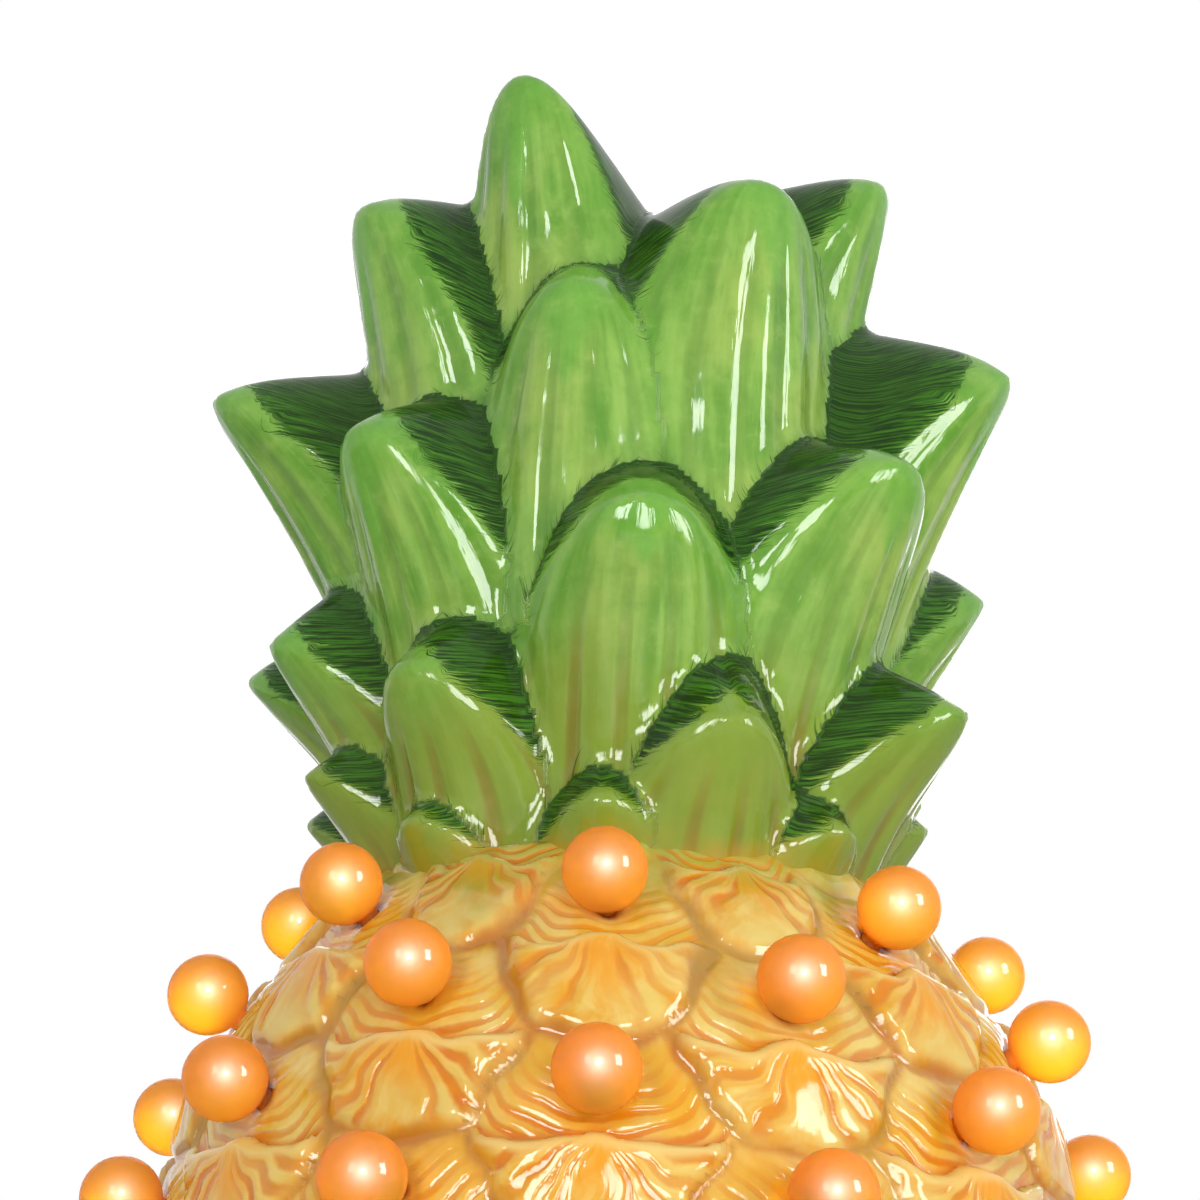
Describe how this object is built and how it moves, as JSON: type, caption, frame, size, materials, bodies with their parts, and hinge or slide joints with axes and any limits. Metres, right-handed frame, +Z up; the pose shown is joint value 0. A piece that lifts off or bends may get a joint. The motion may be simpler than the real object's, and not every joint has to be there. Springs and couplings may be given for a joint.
{
  "type": "pineapple table lamp",
  "caption": "Battery table lamp: a hollow glazed pineapple with a leaf crown and small globe bulbs pegged into its scales.",
  "frame": {"origin": "middle of the plane it stands on", "axes": "+Z up through the crown, -Y is the front"},
  "size_m": [0.1789, 0.1793, 0.2945],
  "materials": {
    "fruit_glaze": "high gloss glaze, cream and orange over the scales",
    "leaf_glaze": "high gloss glaze, light green with dark green brush strokes",
    "bulb_plastic": "clear amber, lit from inside",
    "base_plastic": "fine matt grain",
    "gasket_foam": "closed cell foam",
    "cell_wrap": "plain shrink wrap",
    "contact_steel": "nickel plated spring steel",
    "screw_steel": "zinc plated",
    "black_plastic": "moulded",
    "board": "white solder mask",
    "led_lens": "clear epoxy dome",
    "diffuser_plastic": "milky translucent",
    "red_wire": "PVC insulation",
    "black_wire": "PVC insulation",
    "white_wire": "PVC insulation",
    "pad_rubber": "soft clear silicone"
  },
  "bodies": {
    "lamp": {"pineapple_body": "fruit_glaze", "crown": "leaf_glaze", "base_plate": "base_plastic", "gasket": "gasket_foam", "cell_1": "cell_wrap", "cell_2": "cell_wrap", "cell_3": "cell_wrap", "contact_positive": "contact_steel", "contact_negative": "contact_steel", "contact_link_left": "contact_steel", "contact_link_right": "contact_steel", "switch_body": "black_plastic", "led_board": "board", "board_screw_1": "screw_steel", "board_screw_2": "screw_steel", "led_1": "led_lens", "led_2": "led_lens", "led_3": "led_lens", "diffuser": "diffuser_plastic", "wire_red": "red_wire", "wire_black": "black_wire", "wire_white": "white_wire", "foot_pad_1": "pad_rubber", "foot_pad_2": "pad_rubber", "foot_pad_3": "pad_rubber", "foot_pad_4": "pad_rubber", "bulb_01": "bulb_plastic", "bulb_02": "bulb_plastic", "bulb_03": "bulb_plastic", "bulb_04": "bulb_plastic", "bulb_05": "bulb_plastic", "bulb_06": "bulb_plastic", "bulb_07": "bulb_plastic", "bulb_08": "bulb_plastic", "bulb_09": "bulb_plastic", "bulb_10": "bulb_plastic", "bulb_11": "bulb_plastic", "bulb_12": "bulb_plastic", "bulb_13": "bulb_plastic", "bulb_14": "bulb_plastic", "bulb_15": "bulb_plastic", "bulb_16": "bulb_plastic", "bulb_17": "bulb_plastic", "bulb_18": "bulb_plastic", "bulb_19": "bulb_plastic", "bulb_20": "bulb_plastic", "bulb_21": "bulb_plastic", "bulb_22": "bulb_plastic", "bulb_23": "bulb_plastic", "bulb_24": "bulb_plastic", "bulb_25": "bulb_plastic", "bulb_26": "bulb_plastic", "bulb_27": "bulb_plastic", "bulb_28": "bulb_plastic", "bulb_29": "bulb_plastic", "bulb_30": "bulb_plastic"},
    "battery_door": {"battery_door": "base_plastic"},
    "switch_knob": {"switch_knob": "black_plastic"}
  },
  "joints": [
    {"name": "door_hinge", "type": "hinge", "parent": "lamp", "child": "battery_door", "pos_m": [0, -0.0247, 0.0035], "axis": [-1, 0, 0], "range_deg": [0, 100]},
    {"name": "switch_slide", "type": "slide", "parent": "lamp", "child": "switch_knob", "axis": [1, 0, 0], "range_m": [0, 0.005]}
  ]
}
